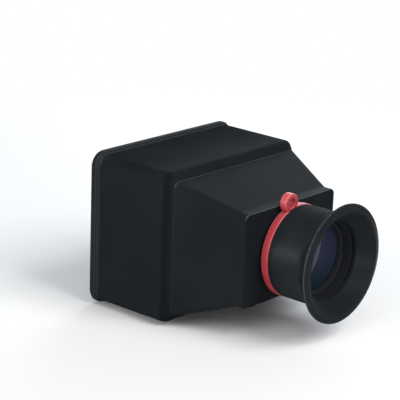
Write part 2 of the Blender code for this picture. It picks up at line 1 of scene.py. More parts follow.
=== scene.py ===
# %% [markdown]
# # A viewfinder loupe, dressed for its picture
# The loupe is a light hood that sits over a small screen. A straight first stage keeps the
# sun off the screen, a pyramid narrows towards the eye, and a lens tube with a rubber cup
# lets one eye look at the screen from close by.
#
# The rigid shapes and the joints come from a imported CAD model, and this lesson gives them
# their finish: softer edges than CAD solids need, moulded grain, rubber, foam and coated glass.
# The lesson loads that model first, because each new piece hides the CAD solids that it stands for, and the
# model's box is kept for the end.

import bmesh
import bpy
import numpy as np
from mathutils import Matrix, Vector


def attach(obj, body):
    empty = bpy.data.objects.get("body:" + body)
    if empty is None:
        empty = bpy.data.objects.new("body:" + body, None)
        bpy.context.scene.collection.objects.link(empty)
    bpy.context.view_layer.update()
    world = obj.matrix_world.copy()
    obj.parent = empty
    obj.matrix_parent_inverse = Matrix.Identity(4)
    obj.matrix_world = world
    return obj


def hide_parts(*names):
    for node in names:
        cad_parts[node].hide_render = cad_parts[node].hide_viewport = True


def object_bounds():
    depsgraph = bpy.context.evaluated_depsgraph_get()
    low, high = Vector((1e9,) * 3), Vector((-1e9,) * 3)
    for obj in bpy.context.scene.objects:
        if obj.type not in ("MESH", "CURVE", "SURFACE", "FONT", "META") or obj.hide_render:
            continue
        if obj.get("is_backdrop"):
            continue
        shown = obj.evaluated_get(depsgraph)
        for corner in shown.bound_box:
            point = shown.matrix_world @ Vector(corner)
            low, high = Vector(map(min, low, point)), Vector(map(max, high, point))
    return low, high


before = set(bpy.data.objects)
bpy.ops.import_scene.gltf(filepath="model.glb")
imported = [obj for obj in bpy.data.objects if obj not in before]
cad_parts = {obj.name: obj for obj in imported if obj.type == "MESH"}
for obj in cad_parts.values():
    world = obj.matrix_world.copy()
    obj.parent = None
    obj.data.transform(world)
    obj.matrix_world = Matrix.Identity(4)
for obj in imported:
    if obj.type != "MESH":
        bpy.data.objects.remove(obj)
cad_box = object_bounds()
print("size in mm:", [round(1000 * side, 1) for side in cad_box[1] - cad_box[0]])

# %% [markdown]
# ## One way to draw everything
# Nearly every part of a loupe is a closed line carried along the optical axis: rounded
# rectangles for the hood, circles for the lens tube. Blender could loft curves or spin a
# profile for this, but a grid of points is plainer: each row is one closed line, and the
# rows follow each other round the wall of the part, outside first and then back inside.
# All numbers below are millimetres in the loupe's own directions: right and up as the eye
# sees them, and depth from the screen towards the eye. A name that ends in AT is a depth.

# %% Lines that are carried along the axis
CORNER_STEPS = 12
SIDE_STEPS = 8
ROUND_STEPS = 160


def rectangle_row(width, height, corner, depth):
    """Rounded rectangle as one closed line.

    A corner is its centre plus the radius times (cos a, sin a), for a quarter turn of a. The
    side that follows runs straight to the next corner, and half a cosine wave crowds its
    points towards both ends.
    """
    angle = (np.arange(4)[:, None] + np.linspace(0, 1, CORNER_STEPS + 1)) * np.pi / 2
    middle_x = np.array([1, -1, -1, 1])[:, None] * (width / 2 - corner)
    middle_y = np.array([1, 1, -1, -1])[:, None] * (height / 2 - corner)
    arcs = np.stack([middle_x + corner * np.cos(angle), middle_y + corner * np.sin(angle)], axis=-1)
    share = (0.5 - 0.5 * np.cos(np.pi * np.arange(1, SIDE_STEPS) / SIDE_STEPS))[:, None]
    sides = arcs[:, -1:] * (1 - share) + np.roll(arcs[:, :1], -1, axis=0) * share
    line = np.concatenate([arcs, sides], axis=1).reshape(-1, 2)
    return np.column_stack([line, np.full(len(line), depth)])


def round_row(radius, depth, steps=ROUND_STEPS):
    """Circle as one closed line: the radius times (cos a, sin a) for a whole turn of a."""
    angle = np.arange(steps) / steps * 2 * np.pi
    return np.column_stack([radius * np.cos(angle), radius * np.sin(angle), np.full(steps, depth)])


def hole_row(row, radius, depth):
    """Circle whose points lie in the same directions from the axis as another row's."""
    flat = row[:, :2] / np.linalg.norm(row[:, :2], axis=1, keepdims=True)
    return np.column_stack([radius * flat, np.full(len(row), depth)])


print("points in a rectangle's row:", len(rectangle_row(76, 59, 4.5, 0)))

# %% [markdown]
# ## Soft edges
# A moulded part has no sharp edge: the tool is milled with small radii, and paint or rubber
# rounds them further. A Bevel modifier could cut them later, but it would cut every edge
# alike. Here each row has its own cut, so the shoulder can be broad and the rim fine.

# %% Rounding the rows of a wall
BEND_STEPS = 6
LONGEST_CUT = 0.36
BESIDE = 0.3
NEARLY_ZERO = 1e-9


def soften(rows, cuts):
    """Rounds a wall where its rows turn.

    Around each row a curve leaves the wall one cut before it and meets it one cut after it:
    (1 - t)² times the start, plus 2t(1 - t) times the row, plus t² times the end. A cut takes
    at most the share LONGEST_CUT of the way to the next row. One more row lies outside each
    end of the curve, by the share BESIDE of the cut, so that the flat wall beyond shades flat.
    """
    t = np.linspace(0, 1, BEND_STEPS + 1)[:, None, None]
    wall = []
    for before, row, after, cut in zip(np.roll(rows, 1, axis=0), rows, np.roll(rows, -1, axis=0), cuts):
        if cut == 0:
            wall.append(row[None])
            continue
        ends = []
        for neighbour in (before, after):
            way = neighbour - row
            length = np.maximum(np.linalg.norm(way, axis=1, keepdims=True), NEARLY_ZERO)
            ends.append(row + way * np.minimum(cut / length, LONGEST_CUT))
        start, end = ends
        curve = (1 - t) ** 2 * start + 2 * t * (1 - t) * row + t ** 2 * end
        first, last = [(edge * (1 + BESIDE) - row * BESIDE)[None] for edge in ends]
        wall += [first, curve, last]
    return np.concatenate(wall)


print("rows that one softened row becomes:", BEND_STEPS + 3)

# %% [markdown]
# ## From rows to a mesh
# A grid of points becomes a mesh when each point is joined to the next one in its row and to the same one
# in the next row. Two things are measured on the way. The volume inside says whether the faces point
# outwards. How sharply the grid bends says where hands and cloths rub a part, and edges that face up get
# more of it, as a painted highlight. Each point keeps that as one number of wear and painted light, for the
# finishes.

# %% Grids, their outside and their wear
SHORTEST_STEP = 1e-6
SHARPEST = 1.6
# The share for edges that face up is a painted highlight, not wear.
SIDE_WEAR, TOP_HIGHLIGHT = 0.28, 0.95


def bend_along(grid, axis):
    """How the grid bends along one of its two directions, per millimetre, as a vector.

    It is the step to the next point, made one long, less the step from the point before,
    made one long, divided by the mean of the two steps' lengths.
    """
    step = np.roll(grid, -1, axis=axis) - grid
    length = np.maximum(np.linalg.norm(step, axis=2, keepdims=True), SHORTEST_STEP)
    way = step / length
    return (way - np.roll(way, 1, axis=axis)) / (0.5 * (length + np.roll(length, 1, axis=axis)))


def shell(grid, poles=False):
    """Closed surface of a grid of rows: points, faces that point outwards, and wear.

    The volume is a sum over faces of one corner dotted with the cross product of the two next ones; where
    it comes out negative, each face is turned round. Wear is the bend against the outward direction over
    SHARPEST, kept between 0 and 1, times a share that grows from SIDE_WEAR with how far the outward
    direction looks up. The bend stands for wear, and the growth towards the top is a painted highlight
    where lamps catch the edges that face up.
    """
    count, around = grid.shape[:2]
    number = np.arange(count * around).reshape(count, around)
    above = np.roll(number, -1, axis=0)
    faces = np.stack([number, np.roll(number, -1, axis=1), np.roll(above, -1, axis=1), above], axis=-1)
    if poles:
        faces = faces[:-1]
    faces = faces.reshape(-1, 4)
    points = grid.reshape(-1, 3)
    a, b, c, d = (points[faces[:, k]] for k in range(4))
    volume = (a * np.cross(b, c)).sum() + (a * np.cross(c, d)).sum()
    turn = 1 if volume > 0 else -1
    round_it = np.roll(grid, -1, axis=1) - np.roll(grid, 1, axis=1)
    up_it = np.roll(grid, -1, axis=0) - np.roll(grid, 1, axis=0)
    outward = turn * np.cross(round_it, up_it)
    outward /= np.maximum(np.linalg.norm(outward, axis=2, keepdims=True), NEARLY_ZERO)
    bend = -np.minimum(*[(bend_along(grid, axis) * outward).sum(axis=2) for axis in (0, 1)])
    # Edges that face up get more, as a painted highlight where lamps glint on them.
    touched_and_lit = np.clip(SIDE_WEAR + TOP_HIGHLIGHT * outward[:, :, 1], 0, 1)
    wear_and_painted_light = (np.clip(bend / SHARPEST, 0, 1) * touched_and_lit).reshape(-1)
    if poles:
        wear_and_painted_light[:around] = wear_and_painted_light[-around:] = 0
    return points, faces[:, ::turn], wear_and_painted_light


def moved(one_shell, right=0, up=0, depth=0):
    """The same shell in another place."""
    points, faces, wear_and_painted_light = one_shell
    return points + (right, up, depth), faces, wear_and_painted_light


print("wear is full where a grid bends by", SHARPEST, "per mm")

# %% [markdown]
# ## One piece from its shells
# A real moulding is one body even where a boss stands on its wall, so the shells of a piece
# go into one mesh. Parenting them would leave loose objects to move at each joint. The mesh
# then rides on its body of the CAD model and stands for the CAD solids that it shows finer.

# %% Making a piece
MM = 0.001
SAME_POINT = 1e-6
SHARP_ANGLE = np.radians(38)


def new_object(name, data):
    """New object in the scene."""
    thing = bpy.data.objects.new(name, data)
    bpy.context.scene.collection.objects.link(thing)
    return thing


def make_piece(name, shells, body, slot, *stands_for):
    """Joins shells into one mesh object that rides on a body of the CAD model.

    A point (right, up, depth) in millimetres goes to (right, -depth, up) in metres, which
    puts the optical axis along -Y. Points closer than a micrometre are made one, so seams
    and poles are closed.
    """
    starts = np.cumsum([0] + [len(points) for points, _, _ in shells[:-1]])
    points = np.concatenate([points for points, _, _ in shells])
    faces = np.concatenate([faces + start for (_, faces, _), start in zip(shells, starts)])
    wear_and_painted_light = np.concatenate([wear_and_painted_light for _, _, wear_and_painted_light in shells]).astype(np.float32)
    mesh = bpy.data.meshes.new(name)
    place = np.column_stack([points[:, 0], -points[:, 2], points[:, 1]]) * MM
    mesh.from_pydata(place, [], faces)
    mesh.attributes.new("wear_and_painted_light", "FLOAT", "POINT").data.foreach_set("value", wear_and_painted_light)
    form = bmesh.new()
    form.from_mesh(mesh)
    bmesh.ops.remove_doubles(form, verts=form.verts, dist=SAME_POINT)
    form.to_mesh(mesh)
    form.free()
    mesh.shade_smooth()
    mesh.set_sharp_from_angle(angle=SHARP_ANGLE)
    piece = new_object(name, mesh)
    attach(piece, body)
    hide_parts(*stands_for)
    print(f"{name}: {len(mesh.polygons)} faces, {[round(1000 * side, 2) for side in piece.dimensions]} mm")
    return piece


# %% [markdown]
# ## The first stage
# On the real loupe this is an injection moulded hood. Its rim faces the screen, its walls
# run straight back, and a stepped shoulder carries the pyramid. The wall could be one
# outline with a Solidify modifier, but the mouth, the ledge and the light gate each need
# their own inner outline, so the rows go round the wall's whole section: up the outside,
# over the shoulder, and back down the inside.
#
# The bend alone doesn't say what hands reach. The rim slides over the frame, so it is rubbed twice as much,
# and the land under the pyramid a little more; both also get a painted highlight for the thin light lines
# they show. Nothing rubs the brow, and the shoulder's two flanks are painted darker, a painted shade, which
# is written as wear below 0.

# %% Front housing
WALL = 2.0
RIM, RIM_AT = (76.0, 59.1, 4.0), 3.7
WALL_END, WALL_END_AT = (75.52, 59.1, 4.0), 35.4
BROW, BROW_AT = (74.1, 58.9, 3.6), 36.7
SHOULDER, SHOULDER_AT = (73.1, 57.7, 3.4), 37.5
PYRAMID_BASE = (69.6, 52.1, 2.1)
LAND, LAND_EDGE_AT, LAND_AT = 0.4, 39.4, 39.6
PYRAMID_GAP = 0.02
GATE = (53.48, 36.23, 2.0)
LEDGE_UNDER_AT, LEDGE_AT = 35.6, 37.6
RIB, RIB_UNDER_AT, RIB_AT, RIB_END_AT = 0.9, 9.3, 10.8, 11.7
SMALLEST_CORNER = 0.3


def inset(section, amount, depth):
    """Row of an outline that is drawn in by an amount on every side."""
    width, height, corner = section
    corner = max(corner - amount, SMALLEST_CORNER)
    return rectangle_row(width - 2 * amount, height - 2 * amount, corner, depth)


def wall_shell(wall):
    """Shell of a wall: a list of rows with their cuts."""
    rows, cuts = map(np.array, zip(*wall))
    return shell(soften(rows, cuts))


def between(values, pairs):
    """Straight lines from one (value, result) pair to the next, level before and after them."""
    known, results = zip(*pairs)
    return np.interp(values, known, results)


front_wall = [
    (inset(RIM, WALL, RIM_AT), 0.25),
    (inset(RIM, 0, RIM_AT), 0.5),
    (inset(WALL_END, 0, WALL_END_AT), 0.6),
    (inset(BROW, 0, BROW_AT), 0.6),
    (inset(SHOULDER, 0, SHOULDER_AT), 0.4),
    (inset(PYRAMID_BASE, -LAND, LAND_EDGE_AT), 0.3),
    (inset(PYRAMID_BASE, PYRAMID_GAP, LAND_AT), 0.03),
    (inset(PYRAMID_BASE, PYRAMID_GAP, LEDGE_AT), 0),
    (rectangle_row(*GATE, LEDGE_AT), 0.2),
    (rectangle_row(*GATE, LEDGE_UNDER_AT), 0.2),
    (inset(WALL_END, WALL, LEDGE_UNDER_AT), 0.5),
    (inset(WALL_END, WALL, RIB_END_AT), 0.2),
    (inset(WALL_END, WALL + RIB, RIB_AT), 0.1),
    (inset(RIM, WALL + RIB, RIB_UNDER_AT), 0),
    (inset(RIM, WALL, RIB_UNDER_AT), 0),
]
points, faces, wear_and_painted_light = wall_shell(front_wall)
# The rim gets twice the wear and the foot land 1.3 times. This is wear, plus a painted highlight for the
# thin light lines and glints there.
rubbed_and_glinting = between(points[:, 2], [(4.4, 2), (5.0, 1), (32.0, 1), (33.5, 0), (38.4, 0), (39.2, 1.3)])
# The shoulder's flanks get wear below 0, which the plastic finish turns into painted shade.
painted_flank_shade = between(points[:, 2], [(35.7, 0), (36.5, 0.9), (38.6, 0.9), (39.2, 0)])
at_flank = between(np.abs(points[:, 0]), [(33.8, 0), (34.5, 1)])
front_shell = points, faces, wear_and_painted_light * rubbed_and_glinting - painted_flank_shade * at_flank
print("front housing's wear runs from", front_shell[2].min().round(2), "to", front_shell[2].max().round(2))

# %% [markdown]
# The carrier's screws bite into four round bosses in the hood's mouth. Each is a small
# cylinder in the corner where the wall and the stop rib meet. A Boolean could weld it to
# the wall, but the two only have to touch, and a plain shell keeps its clean rows.

# %% Bosses in the mouth
SCREW_X, SCREW_Y = 31.2, 25.23
SCREW_BOSS, SCREW_BOSS_AT = 2.3, 14.9
CORNERS = {"top_right": (1, 1), "top_left": (-1, 1), "bottom_left": (-1, -1), "bottom_right": (1, -1)}


def bosses(radius, back, front, reach_x, reach_y):
    """Four solid cylinders with softened ends, one in each corner."""
    profile = [(0, back), (radius, back), (radius, front), (0, front)]
    rows = np.array([round_row(r, depth, 40) for r, depth in profile])
    boss = shell(soften(rows, [0, 0.25, 0.25, 0]), poles=True)
    return [moved(boss, x * reach_x, y * reach_y) for x, y in CORNERS.values()]


front_bosses = bosses(SCREW_BOSS, RIB_UNDER_AT, SCREW_BOSS_AT, SCREW_X, SCREW_Y)
front_housing = make_piece(
    "first_stage", [front_shell, *front_bosses], "loupe_body", "black_plastic", "front_housing"
)

# %% [markdown]
# ## The pyramid
# The second stage narrows to the eye plate. Its ridges are soft, it ends in a short straight
# lip, and the flat plate inside that lip has a round hole for the lens tube. The rows are
# rectangles up to the plate, and there they change to circles: each point keeps its
# direction from the axis, so no point has to be added and no Boolean is needed.

# %% Rear housing
FOOT_AT, FOOT_END_AT, BEAD_AT = 37.9, 39.3, 39.85
BEAD = 0.42
INNER_FOOT_AT = 39.2
EYE_PLATE = (53.08, 36.68, 2.4)
LIP_AT, PLATE_UNDER_AT, PLATE_AT = 63.2, 65.3, 67.3
HOLE = 14.3
JOIN_X, JOIN_Y = 29.84, 21.22
JOIN_BOSS, JOIN_BOSS_AT = 2.4, 44.6

plate_edge = inset(EYE_PLATE, 0, PLATE_AT)
rear_wall = [
    (inset(PYRAMID_BASE, WALL, FOOT_AT), 0.1),
    (inset(PYRAMID_BASE, 0, FOOT_AT), 0.1),
    (inset(PYRAMID_BASE, 0, FOOT_END_AT), 0),
    (inset(PYRAMID_BASE, -BEAD, BEAD_AT), 0.2),
    (inset(EYE_PLATE, 0, LIP_AT), 0.9),
    (plate_edge, 0.6),
    (hole_row(plate_edge, HOLE, PLATE_AT), 0.15),
    (hole_row(plate_edge, HOLE, PLATE_UNDER_AT), 0.15),
    (inset(EYE_PLATE, WALL, PLATE_UNDER_AT), 0.3),
    (inset(EYE_PLATE, WALL, LIP_AT), 0),
    (inset(PYRAMID_BASE, WALL, INNER_FOOT_AT), 0),
]
points, faces, wear_and_painted_light = wall_shell(rear_wall)
# The foot and its bead get 1.3 times the wear, which also paints in their thin light line as a painted
# highlight; the rest of the pyramid gets 0.8.
rear_shell = points, faces, wear_and_painted_light * between(points[:, 2], [(40.2, 1.3), (41.0, 0.8)])
rear_bosses = bosses(JOIN_BOSS, FOOT_AT, JOIN_BOSS_AT, JOIN_X, JOIN_Y)
rear_housing = make_piece(
    "pyramid", [rear_shell, *rear_bosses], "loupe_body", "black_plastic", "rear_housing"
)

# %% [markdown]
# ## The frame round the screen
# A thin painted steel plate stays round the screen, and the magnets in the loupe's mouth hold on to it. Its
# face lies in the shade of the hood's wall and is painted paler, as painted light, so it shows as a thin
# bright line beside the dark groove. A low lip round the window centres the loupe. It could be cut from a
# plane, but the same rows give it all its steps at once.

# %% Screen frame
FRAME_PLATE = (78.2, 61.3, 5.5)
FRAME_LAND = (75.9, 59.0, 3.9)
WINDOW = (64.0, 43.6, 1.2)
LIP_WALL = 1.0
FRAME_BACK_AT, FRAME_FACE_AT, FRAME_LAND_AT, FRAME_LIP_AT = 0.9, 2.8, 3.4, 5.9

frame_wall = [
    (inset(FRAME_PLATE, 0, FRAME_BACK_AT), 0.2),
    (inset(FRAME_PLATE, 0, FRAME_FACE_AT), 0.4),
    (inset(FRAME_LAND, 0, FRAME_FACE_AT), 0.15),
    (inset(FRAME_LAND, 0, FRAME_LAND_AT), 0.15),
    (inset(WINDOW, -LIP_WALL, FRAME_LAND_AT), 0.15),
    (inset(WINDOW, -LIP_WALL, FRAME_LIP_AT), 0.35),
    (inset(WINDOW, 0, FRAME_LIP_AT), 0.25),
    (inset(WINDOW, 0, FRAME_BACK_AT), 0.2),
]
points, faces, wear_and_painted_light = wall_shell(frame_wall)
# The frame's face gets full wear, which paints it paler: painted light in the shade of the hood's wall.
painted_face_light = between(points[:, 2], [(2.5, 0), (2.75, 1), (3.5, 1), (4.0, 0)])
frame_shell = points, faces, np.maximum(wear_and_painted_light, painted_face_light)
screen_frame = make_piece(
    "screen_plate", [frame_shell], "frame_body", "black_painted_steel", "screen_frame"
)

# %% [markdown]
# ## Foam tape and light seal
# The tape behind the frame and the seal in the groove are cut from foam sheet. Cut foam has
# slightly bulging edges, because the skins on both sides hold it and the middle swells. A
# cloth simulation could find that swelling, but on a strip so thin one row at half
# thickness, a little further out, already gives it.

# %% Foam pieces
def foam_ring(outer, inner, back, front, swell):
    """Flat ring of foam: outer row, middle row let out by the swell, outer row, and the same inside."""
    middle = (back + front) / 2
    rows = [
        inset(outer, 0, back), inset(outer, -swell, middle), inset(outer, 0, front),
        inset(inner, 0, front), inset(inner, swell, middle), inset(inner, 0, back),
    ]
    return shell(soften(np.array(rows), [0.15, 0.3, 0.15, 0.15, 0.3, 0.15]))


tape_ring = foam_ring(outer=(77.2, 60.3, 5.5), inner=(65.0, 44.6, 1.7), back=0, front=0.6, swell=0.08)
tape = make_piece("foam_tape", [tape_ring], "frame_body", "foam_tape", "adhesive_tape")
seal_ring = foam_ring(outer=(71.2, 54.3, 1.7), inner=(67.0, 46.6, 2.5), back=3.7, front=4.7, swell=0.12)
light_seal = make_piece("foam_seal", [seal_ring], "loupe_body", "foam_tape", "light_seal")

# %% [markdown]
# ## The lens tube
# The tube's neck goes through the eye plate, a collar rests on the plate, and the barrel
# carries the ring and the rubber cup. A Screw modifier could turn its profile, but then the
# rows would stay out of reach. Here a turned part is a profile of radius and depth, carried
# round the axis in circles, and its edges are softened like those of the hood.

# %% Turned parts
BORE, NECK, COLLAR, BARREL, LENS_BORE = 12.6, 14.0, 17.4, 16.0, 14.6
TUBE_BACK_AT, COLLAR_BACK_AT, COLLAR_AT, LENS_SEAT_AT, TUBE_END_AT = 62.1, 67.6, 68.1, 69.7, 85.18


def turned(profile, cuts, poles=False, steps=ROUND_STEPS):
    """Profile of (radius, depth) carried round the axis: one circle for each of its points."""
    rows = np.array([round_row(radius, depth, steps) for radius, depth in profile])
    return shell(soften(rows, cuts), poles)


tube_profile = [
    (BORE, TUBE_BACK_AT), (NECK, TUBE_BACK_AT), (NECK, COLLAR_BACK_AT), (COLLAR, COLLAR_BACK_AT),
    (COLLAR, COLLAR_AT), (BARREL, COLLAR_AT), (BARREL, TUBE_END_AT), (LENS_BORE, TUBE_END_AT),
    (LENS_BORE, LENS_SEAT_AT), (BORE, LENS_SEAT_AT),
]
tube_cuts = [0.2, 0.3, 0.1, 0.2, 0.2, 0.1, 0.12, 0.08, 0, 0.2]
tube_shell = turned(tube_profile, tube_cuts)
lens_tube = make_piece("lens_tube", [tube_shell], "loupe_body", "black_plastic", "eyepiece_tube")

# %% [markdown]
# ## Rings round the lenses
# Both rings are thin and turned, and the retaining ring has two slots for a spanner. A
# Boolean could cut them, but on a grid it is enough to lower the front rows where a point
# lies within the slot's width: a smooth step of the distance from the slot's middle line,
# times the slot's depth.

# %% Spacer and retaining ring
LENS_RING = (13.2, 14.3)
SPACER_AT = (72.3, 76.98)
RETAINER_AT = (80.08, 81.88)
SLOT_HALF_WIDTH, SLOT_DEPTH = (0.7, 0.85), 0.7
LOWERED_FROM = (80.8, 81.7)


def smooth_step(value, low, high):
    """0 below low, 1 above high, and 3t² - 2t³ between them."""
    t = np.clip((value - low) / (high - low), 0, 1)
    return t * t * (3 - 2 * t)


def plain_ring(radii, depths, cuts, steps=ROUND_STEPS):
    """Turned ring whose section is a rectangle."""
    inner, outer = radii
    back, front = depths
    return turned([(inner, back), (outer, back), (outer, front), (inner, front)], cuts, steps=steps)


spacer_shell = plain_ring(LENS_RING, SPACER_AT, [0.15] * 4)
spacer = make_piece("spacer_ring", [spacer_shell], "loupe_body", "black_plastic", "lens_spacer")
points, faces, wear_and_painted_light = plain_ring(LENS_RING, RETAINER_AT, [0.1] * 4, steps=480)
in_slot = 1 - smooth_step(np.abs(points[:, 1]), *SLOT_HALF_WIDTH)
points[:, 2] -= SLOT_DEPTH * in_slot * smooth_step(points[:, 2], *LOWERED_FROM)
retaining_ring = make_piece(
    "retaining_ring", [(points, faces, wear_and_painted_light)], "loupe_body", "black_plastic", "lens_retaining_ring"
)

# %% [markdown]
# ## Two coated lenses
# Each lens is a ground disc with faces that are parts of large balls. Two balls joined by a
# Boolean would leave ragged triangles at the rim, where glass shows every fault. The height
# of a face at a distance from the axis is the root of the ball's radius squared less that
# distance squared, measured from its value at the rim. The rows run from the middle of one
# face over the edge to the middle of the other one.

# %% Lenses
LENS_RADIUS = 14.3
LENS_ROWS = 18
LENS_EDGE_CUT = 0.15


def lens_face(ball, edge_at, turn):
    """Profile of one face from the rim to the axis; a ball radius of 0 stands for a flat face."""
    distance = LENS_RADIUS * np.linspace(1, 0, LENS_ROWS)
    if ball == 0:
        return list(zip(distance, np.full(LENS_ROWS, edge_at)))
    height = np.sqrt(ball ** 2 - distance ** 2) - np.sqrt(ball ** 2 - LENS_RADIUS ** 2)
    return list(zip(distance, edge_at + turn * height))


def lens(back_ball, back_at, front_ball, front_at):
    """Both faces in one profile, with a cut on each side of the ground edge between them."""
    profile = lens_face(back_ball, back_at, -1)[::-1] + lens_face(front_ball, front_at, 1)
    cuts = [0] * len(profile)
    cuts[LENS_ROWS - 1] = cuts[LENS_ROWS] = LENS_EDGE_CUT
    return turned(profile, cuts, poles=True, steps=96)


field_shell = lens(back_ball=0, back_at=70.0, front_ball=83.0, front_at=72.0)
field_lens = make_piece("screen_side_lens", [field_shell], "loupe_body", "coated_glass", "field_lens")
eye_shell = lens(back_ball=83.0, back_at=77.28, front_ball=170.0, front_at=79.78)
eye_lens = make_piece("eye_side_lens", [eye_shell], "loupe_body", "coated_glass", "eye_lens")

# %% [markdown]
# ## The coral ring and its eyelet
# The ring is the one bright part: it turns on the tube so that the lanyard hangs freely. On
# the real ring the eyelet is a short round tube moulded onto the band, so deep that its bore
# just clears the band's outside. Both are turned parts, each about its own middle, and the
# eyelet is then moved out to its place, a little left of the top.

# %% Lanyard ring
BAND, EYELET = (16.3, 18.04), (1.9, 3.7)
RING_AT = (68.4, 71.3)
LEAN = np.radians(14.0)
EYELET_REACH = 20.14

band = plain_ring(BAND, RING_AT, [0.15, 0.25, 0.2, 0.15])
eyelet = plain_ring(EYELET, RING_AT, [0.1, 0.4, 0.4, 0.12], steps=96)
eyelet = moved(eyelet, -EYELET_REACH * np.sin(LEAN), EYELET_REACH * np.cos(LEAN))
lanyard_ring = make_piece(
    "coral_ring", [band, eyelet], "lanyard_ring_body", "coral_red_plastic", "lanyard_ring"
)

# %% [markdown]
# ## The rubber eyecup
# The cup is moulded rubber: a plain sleeve stretched over the tube, which flares like a trumpet into a wide
# rim with a crowned face, and a cone inside that leads to the lens. A subdivided cage could give these
# curves, but two formulas hit their sizes at once. The flare is part of a circle that starts along the
# sleeve and ends at twice the angle of the straight line between its ends. The crown is a parabola that is
# level at the cone. The thin outer edge of the rim is what a brow or a cheek rubs, so it gets its own wear,
# which also paints in the thin highlight line along that edge.

# %% Eyecup
SLEEVE = (16.3, 18.0)
SLEEVE_BACK_AT, SLEEVE_STOP_AT = 71.6, 85.48
FLARE_HEIGHT, FLARE_LENGTH, FLARE_AT = 4.85, 7.1, 84.48
CROWN_FACE, CROWN_HEIGHT, CROWN_AT = 2.9, 0.9, 92.18
CROWN_TURN = 0.3
CONE_END, CONE_END_AT = 15.3, 87.0
RIM_WEAR_AND_HIGHLIGHT = 0.9

sweep = 2 * np.arctan(FLARE_HEIGHT / FLARE_LENGTH)
bow = FLARE_LENGTH / np.sin(sweep)
angle = np.linspace(0, sweep, 15)
flare = list(zip(SLEEVE[1] + bow * (1 - np.cos(angle)), FLARE_AT + bow * np.sin(angle)))
share = np.linspace(0, 1, 12)
rim_radius = SLEEVE[1] + FLARE_HEIGHT
crown = list(zip(rim_radius - CROWN_FACE * share, CROWN_AT + CROWN_HEIGHT * (1 - (1 - share) ** 2)))
cup_profile = [
    (SLEEVE[0], SLEEVE_BACK_AT), (SLEEVE[1], SLEEVE_BACK_AT), *flare, *crown,
    (rim_radius - CROWN_FACE - CROWN_TURN, CROWN_AT + CROWN_HEIGHT - CROWN_TURN),
    (CONE_END, CONE_END_AT), (CONE_END, SLEEVE_STOP_AT), (SLEEVE[0], SLEEVE_STOP_AT),
]
flare_cuts = [0] * (len(flare) - 1) + [0.12]
crown_cuts = [0.12] + [0] * (len(crown) - 1)
points, faces, wear_and_painted_light = turned(cup_profile, [0.2, 0.45, *flare_cuts, *crown_cuts, 0.3, 0.7, 0.1, 0.1])
# The rim's thin outer edge gets its own wear, which paints in its highlight line too.
near_face = between(points[:, 2], [(91.75, 0), (92.0, 1)])
far_out = between(np.linalg.norm(points[:, :2], axis=1), [(22.6, 0), (22.8, 1)])
cup_shell = points, faces, np.maximum(wear_and_painted_light, RIM_WEAR_AND_HIGHLIGHT * (near_face * far_out))
eyecup = make_piece("rubber_cup", [cup_shell], "eyecup_body", "black_rubber", "eyecup")

# %% [markdown]
# ## Screws
# Eight small screws hold the hood together, and all eight have a cross recess. The head is a
# turned dome whose points near the axis are pushed in, which spares eight Booleans. How far
# depends on the distance to the nearer arm of the cross: the smaller of |x| and |y|, taken
# through a smooth step, and again on the distance from the middle, so that the arms end
# inside the head.

# %% Screws with a cross recess
DOME_ROWS = 14
DOME_SHARE, DOME_DROP = 0.72, 0.12
ARM_WIDTH, ARM_LENGTH = (0.08, 0.16), (0.42, 0.58)
RECESS = 0.55


def screw(seat_at, head_radius, head, radius, length):
    """Pan head and shank in one profile, from the head's middle to the shank's tip.

    The dome falls by DOME_DROP times the square of the distance over the head's radius. Arm
    widths and lengths are shares of that radius, and the recess is a share of the head's height.
    """
    top = seat_at - head
    distance = head_radius * np.linspace(0, DOME_SHARE, DOME_ROWS)
    dome = list(zip(distance, top + DOME_DROP * (distance / head_radius) ** 2))
    profile = dome + [
        (head_radius * 0.92, top + head * 0.25), (head_radius, top + head * 0.55), (head_radius, seat_at),
        (radius, seat_at), (radius, seat_at + length - radius), (radius / 2, seat_at + length),
        (0, seat_at + length),
    ]
    cuts = [0] * DOME_ROWS + [0.05, 0.1, 0.08, 0.05, 0.1, 0.1, 0]
    points, faces, wear_and_painted_light = turned(profile, cuts, poles=True, steps=96)
    x, y = np.abs(points[:, 0]) / head_radius, np.abs(points[:, 1]) / head_radius
    arm = 1 - smooth_step(np.minimum(x, y), *ARM_WIDTH)
    inside = 1 - smooth_step(np.maximum(x, y), *ARM_LENGTH)
    front = 1 - smooth_step(points[:, 2], top + 0.15, top + 0.2)
    points[:, 2] += RECESS * head * arm * inside * front
    return points, faces, wear_and_painted_light


small = screw(seat_at=6.1, head_radius=1.2, head=0.8, radius=0.7, length=7.5)
large = screw(seat_at=35.3, head_radius=1.9, head=1.3, radius=1.0, length=8.0)
kinds = [("small", "carrier", small, SCREW_X, SCREW_Y), ("joining", "housing", large, JOIN_X, JOIN_Y)]
screws = []
for corner, (x, y) in CORNERS.items():
    for kind, joined, one_screw, reach_x, reach_y in kinds:
        placed = moved(one_screw, x * reach_x, y * reach_y)
        node = f"{joined}_screw_{corner}"
        piece = make_piece(f"{kind}_screw_{corner}", [placed], "loupe_body", "blackened_steel", node)
        screws.append(piece)

# %% [markdown]
# ## Patterns for the finishes
# The finishes are shader nodes. Each reads Object coordinates, which are metres here, so a
# noise with scale 5000 has grains about a fifth of a millimetre wide. An image could hold
# such a pattern too, but it would need a flat map of each piece. These helpers make a
# noise, map a pattern to a range of numbers, mix two colours by it, or turn it into relief.

# %% Helpers for patterns
def new_finish(name):
    """New material and its node tree, which starts with one Principled shader."""
    material = bpy.data.materials.new(name)
    material.use_nodes = True
    return material, material.node_tree


